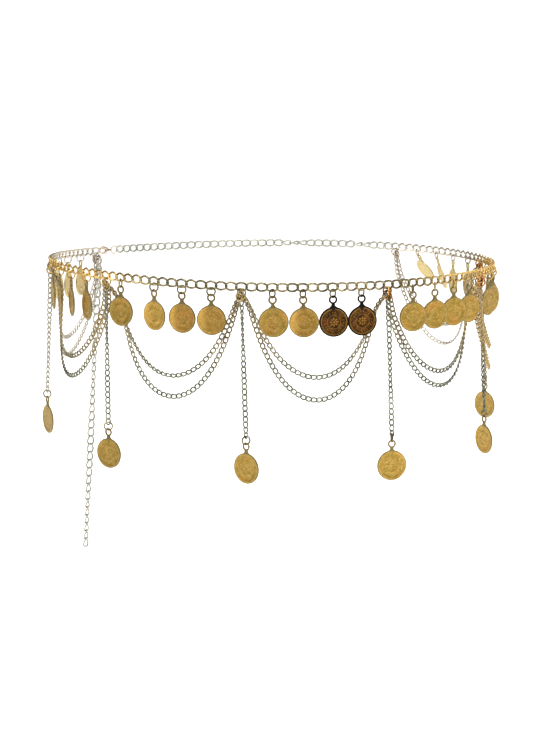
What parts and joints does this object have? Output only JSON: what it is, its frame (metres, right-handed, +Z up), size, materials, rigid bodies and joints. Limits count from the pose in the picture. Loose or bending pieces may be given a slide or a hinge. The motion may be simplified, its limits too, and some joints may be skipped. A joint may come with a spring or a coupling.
{
  "type": "coin waist chain",
  "caption": "Gold-coloured curb chain closed round a hollow waist, with hanging coins, chain swags, coin drops, a lobster clasp and a spare tail of chain.",
  "frame": {"origin": "centre of the hollow waist at the height of the main chain's middle line, where the wearer holds it", "axes": "+Z up, -Y the wearer's front, +X the wearer's left, so to the right seen from the front"},
  "size_m": [0.2999, 0.2582, 0.217],
  "materials": {
    "chain_gold": "polished pale gold plating, olive-dark where links shade each other",
    "back_gold": "the same plating, paler",
    "ring_gold": "orange-gold polished wire and clasp",
    "coin_gold": null,
    "coin_dark": "darkened gold plating, near-black rim and neck over a dark brown field"
  },
  "bodies": {
    "chain": {"back_chain": "back_gold", "drop_1": "chain_gold", "drop_2": "chain_gold", "drop_3": "chain_gold", "drop_4": "chain_gold", "drop_5": "chain_gold", "drop_6": "chain_gold", "end_ring_left": "ring_gold", "end_ring_right": "ring_gold", "lobster_clasp": "ring_gold", "panel_chain_1": "chain_gold", "panel_chain_2": "chain_gold", "panel_chain_3": "chain_gold", "panel_chain_4": "chain_gold", "panel_chain_5": "chain_gold", "panel_chain_6": "chain_gold", "panel_chain_7": "chain_gold", "swags_1": "chain_gold", "swags_2": "chain_gold", "swags_3": "chain_gold", "swags_4": "chain_gold", "swags_5": "chain_gold", "swags_6": "chain_gold", "swags_7": "chain_gold", "tail_chain": "back_gold"},
    "coin_1_1": {"coin_1_1": "coin_gold"},
    "coin_1_2": {"coin_1_2": "coin_gold"},
    "coin_1_3": {"coin_1_3": "coin_gold"},
    "coin_1_4": {"coin_1_4": "coin_gold"},
    "coin_2_1": {"coin_2_1": "coin_gold"},
    "coin_2_2": {"coin_2_2": "coin_gold"},
    "coin_2_3": {"coin_2_3": "coin_gold"},
    "coin_2_4": {"coin_2_4": "coin_gold"},
    "coin_3_1": {"coin_3_1": "coin_gold"},
    "coin_3_2": {"coin_3_2": "coin_gold"},
    "coin_3_3": {"coin_3_3": "coin_gold"},
    "coin_3_4": {"coin_3_4": "coin_gold"},
    "coin_4_1": {"coin_4_1": "coin_gold"},
    "coin_4_2": {"coin_4_2": "coin_gold"},
    "coin_4_3": {"coin_4_3": "coin_dark"},
    "coin_4_4": {"coin_4_4": "coin_dark"},
    "coin_5_1": {"coin_5_1": "coin_gold"},
    "coin_5_2": {"coin_5_2": "coin_gold"},
    "coin_5_3": {"coin_5_3": "coin_gold"},
    "coin_5_4": {"coin_5_4": "coin_gold"},
    "coin_6_1": {"coin_6_1": "coin_gold"},
    "coin_6_2": {"coin_6_2": "coin_gold"},
    "coin_6_3": {"coin_6_3": "coin_gold"},
    "coin_6_4": {"coin_6_4": "coin_gold"},
    "coin_7_1": {"coin_7_1": "coin_gold"},
    "coin_7_2": {"coin_7_2": "coin_gold"},
    "coin_7_3": {"coin_7_3": "coin_gold"},
    "coin_7_4": {"coin_7_4": "coin_gold"},
    "drop_coin_1": {"drop_coin_1": "coin_gold"},
    "drop_coin_2": {"drop_coin_2": "coin_gold"},
    "drop_coin_3": {"drop_coin_3": "coin_gold"},
    "drop_coin_4": {"drop_coin_4": "coin_gold"},
    "drop_coin_5": {"drop_coin_5": "coin_gold"},
    "drop_coin_6": {"drop_coin_6": "coin_gold"}
  },
  "joints": [
    {"name": "coin_1_1_swing", "type": "hinge", "parent": "chain", "child": "coin_1_1", "pos_m": [-0.11699, 0.07099, -0.0004], "axis": [0.607, 0.7947, 0], "range_deg": [0, 75]},
    {"name": "coin_1_2_swing", "type": "hinge", "parent": "chain", "child": "coin_1_2", "pos_m": [-0.12654, 0.05647, 0.00028], "axis": [0.4899, 0.8718, 0], "range_deg": [0, 75]},
    {"name": "coin_1_3_swing", "type": "hinge", "parent": "chain", "child": "coin_1_3", "pos_m": [-0.13392, 0.04075, 0.00094], "axis": [0.3579, 0.9338, 0], "range_deg": [0, 75]},
    {"name": "coin_1_4_swing", "type": "hinge", "parent": "chain", "child": "coin_1_4", "pos_m": [-0.13889, 0.02412, 0.00154], "axis": [0.2139, 0.9769, 0], "range_deg": [0, 75]},
    {"name": "coin_2_1_swing", "type": "hinge", "parent": "chain", "child": "coin_2_1", "pos_m": [-0.14102, -0.01043, 0.0023], "axis": [-0.0923, 0.9957, 0], "range_deg": [0, 75]},
    {"name": "coin_2_2_swing", "type": "hinge", "parent": "chain", "child": "coin_2_2", "pos_m": [-0.13809, -0.02753, 0.00236], "axis": [-0.2432, 0.97, 0], "range_deg": [0, 75]},
    {"name": "coin_2_3_swing", "type": "hinge", "parent": "chain", "child": "coin_2_3", "pos_m": [-0.13262, -0.044, 0.00219], "axis": [-0.3852, 0.9228, 0], "range_deg": [0, 75]},
    {"name": "coin_2_4_swing", "type": "hinge", "parent": "chain", "child": "coin_2_4", "pos_m": [-0.12479, -0.05949, 0.00182], "axis": [-0.5145, 0.8575, 0], "range_deg": [0, 75]},
    {"name": "coin_3_1_swing", "type": "hinge", "parent": "chain", "child": "coin_3_1", "pos_m": [-0.10718, -0.0824, 0.00084], "axis": [-0.6954, 0.7186, 0], "range_deg": [0, 75]},
    {"name": "coin_3_2_swing", "type": "hinge", "parent": "chain", "child": "coin_3_2", "pos_m": [-0.08971, -0.09759, -0.00012], "axis": [-0.8076, 0.5897, 0], "range_deg": [0, 75]},
    {"name": "coin_3_3_swing", "type": "hinge", "parent": "chain", "child": "coin_3_3", "pos_m": [-0.07508, -0.10697, -0.00084], "axis": [-0.8734, 0.487, 0], "range_deg": [0, 75]},
    {"name": "coin_3_4_swing", "type": "hinge", "parent": "chain", "child": "coin_3_4", "pos_m": [-0.05943, -0.11453, -0.00153], "axis": [-0.9246, 0.3811, 0], "range_deg": [0, 75]},
    {"name": "coin_4_1_swing", "type": "hinge", "parent": "chain", "child": "coin_4_1", "pos_m": [-0.02603, -0.12405, -0.00268], "axis": [-0.9864, 0.1643, 0], "range_deg": [0, 75]},
    {"name": "coin_4_2_swing", "type": "hinge", "parent": "chain", "child": "coin_4_2", "pos_m": [-0.00874, -0.12596, -0.0031], "axis": [-0.9985, 0.0548, 0], "range_deg": [0, 75]},
    {"name": "coin_4_3_swing", "type": "hinge", "parent": "chain", "child": "coin_4_3", "pos_m": [0.00866, -0.12596, -0.00343], "axis": [-0.9985, -0.0548, 0], "range_deg": [0, 75]},
    {"name": "coin_4_4_swing", "type": "hinge", "parent": "chain", "child": "coin_4_4", "pos_m": [0.02596, -0.12406, -0.00366], "axis": [-0.9864, -0.1643, 0], "range_deg": [0, 75]},
    {"name": "coin_5_1_swing", "type": "hinge", "parent": "chain", "child": "coin_5_1", "pos_m": [0.05937, -0.11456, -0.00394], "axis": [-0.9245, -0.3812, 0], "range_deg": [0, 75]},
    {"name": "coin_5_2_swing", "type": "hinge", "parent": "chain", "child": "coin_5_2", "pos_m": [0.07503, -0.107, -0.00403], "axis": [-0.8733, -0.4872, 0], "range_deg": [0, 75]},
    {"name": "coin_5_3_swing", "type": "hinge", "parent": "chain", "child": "coin_5_3", "pos_m": [0.08968, -0.09762, -0.00411], "axis": [-0.8074, -0.59, 0], "range_deg": [0, 75]},
    {"name": "coin_5_4_swing", "type": "hinge", "parent": "chain", "child": "coin_5_4", "pos_m": [0.10304, -0.0865, -0.0042], "axis": [-0.7258, -0.6879, 0], "range_deg": [0, 75]},
    {"name": "coin_6_1_swing", "type": "hinge", "parent": "chain", "child": "coin_6_1", "pos_m": [0.1248, -0.05948, -0.00442], "axis": [-0.5139, -0.8579, 0], "range_deg": [0, 75]},
    {"name": "coin_6_2_swing", "type": "hinge", "parent": "chain", "child": "coin_6_2", "pos_m": [0.13264, -0.04396, -0.00453], "axis": [-0.3845, -0.9231, 0], "range_deg": [0, 75]},
    {"name": "coin_6_3_swing", "type": "hinge", "parent": "chain", "child": "coin_6_3", "pos_m": [0.13811, -0.02746, -0.00462], "axis": [-0.2424, -0.9702, 0], "range_deg": [0, 75]},
    {"name": "coin_6_4_swing", "type": "hinge", "parent": "chain", "child": "coin_6_4", "pos_m": [0.14103, -0.01031, -0.00466], "axis": [-0.0916, -0.9958, 0], "range_deg": [0, 75]},
    {"name": "coin_7_1_swing", "type": "hinge", "parent": "chain", "child": "coin_7_1", "pos_m": [0.13885, 0.0243, -0.00453], "axis": [0.2147, -0.9767, 0], "range_deg": [0, 75]},
    {"name": "coin_7_2_swing", "type": "hinge", "parent": "chain", "child": "coin_7_2", "pos_m": [0.13384, 0.04095, -0.00434], "axis": [0.3588, -0.9334, 0], "range_deg": [0, 75]},
    {"name": "coin_7_3_swing", "type": "hinge", "parent": "chain", "child": "coin_7_3", "pos_m": [0.12643, 0.05668, -0.0041], "axis": [0.4907, -0.8713, 0], "range_deg": [-21, 54]},
    {"name": "coin_7_4_swing", "type": "hinge", "parent": "chain", "child": "coin_7_4", "pos_m": [0.11684, 0.07118, -0.00382], "axis": [0.6078, -0.7941, 0], "range_deg": [-37, 38]},
    {"name": "drop_coin_1_swing", "type": "hinge", "parent": "chain", "child": "drop_coin_1", "pos_m": [-0.14576, 0.0072, -0.07949], "axis": [0.0619, 0.9981, 0], "range_deg": [0, 75]},
    {"name": "drop_coin_2_swing", "type": "hinge", "parent": "chain", "child": "drop_coin_2", "pos_m": [-0.11552, -0.07427, -0.08503], "axis": [-0.6285, 0.7778, 0], "range_deg": [0, 75]},
    {"name": "drop_coin_3_swing", "type": "hinge", "parent": "chain", "child": "drop_coin_3", "pos_m": [-0.04189, -0.12406, -0.08675], "axis": [-0.962, 0.2732, 0], "range_deg": [0, 75]},
    {"name": "drop_coin_4_swing", "type": "hinge", "parent": "chain", "child": "drop_coin_4", "pos_m": [0.04478, -0.1233, -0.08983], "axis": [-0.9619, -0.2733, 0], "range_deg": [0, 75]},
    {"name": "drop_coin_5_swing", "type": "hinge", "parent": "chain", "child": "drop_coin_5", "pos_m": [0.11745, -0.07584, -0.08821], "axis": [-0.628, -0.7782, 0], "range_deg": [0, 75]},
    {"name": "drop_coin_6_swing", "type": "hinge", "parent": "chain", "child": "drop_coin_6", "pos_m": [0.14634, 0.00739, -0.08383], "axis": [0.0628, -0.998, 0], "range_deg": [0, 75]}
  ]
}
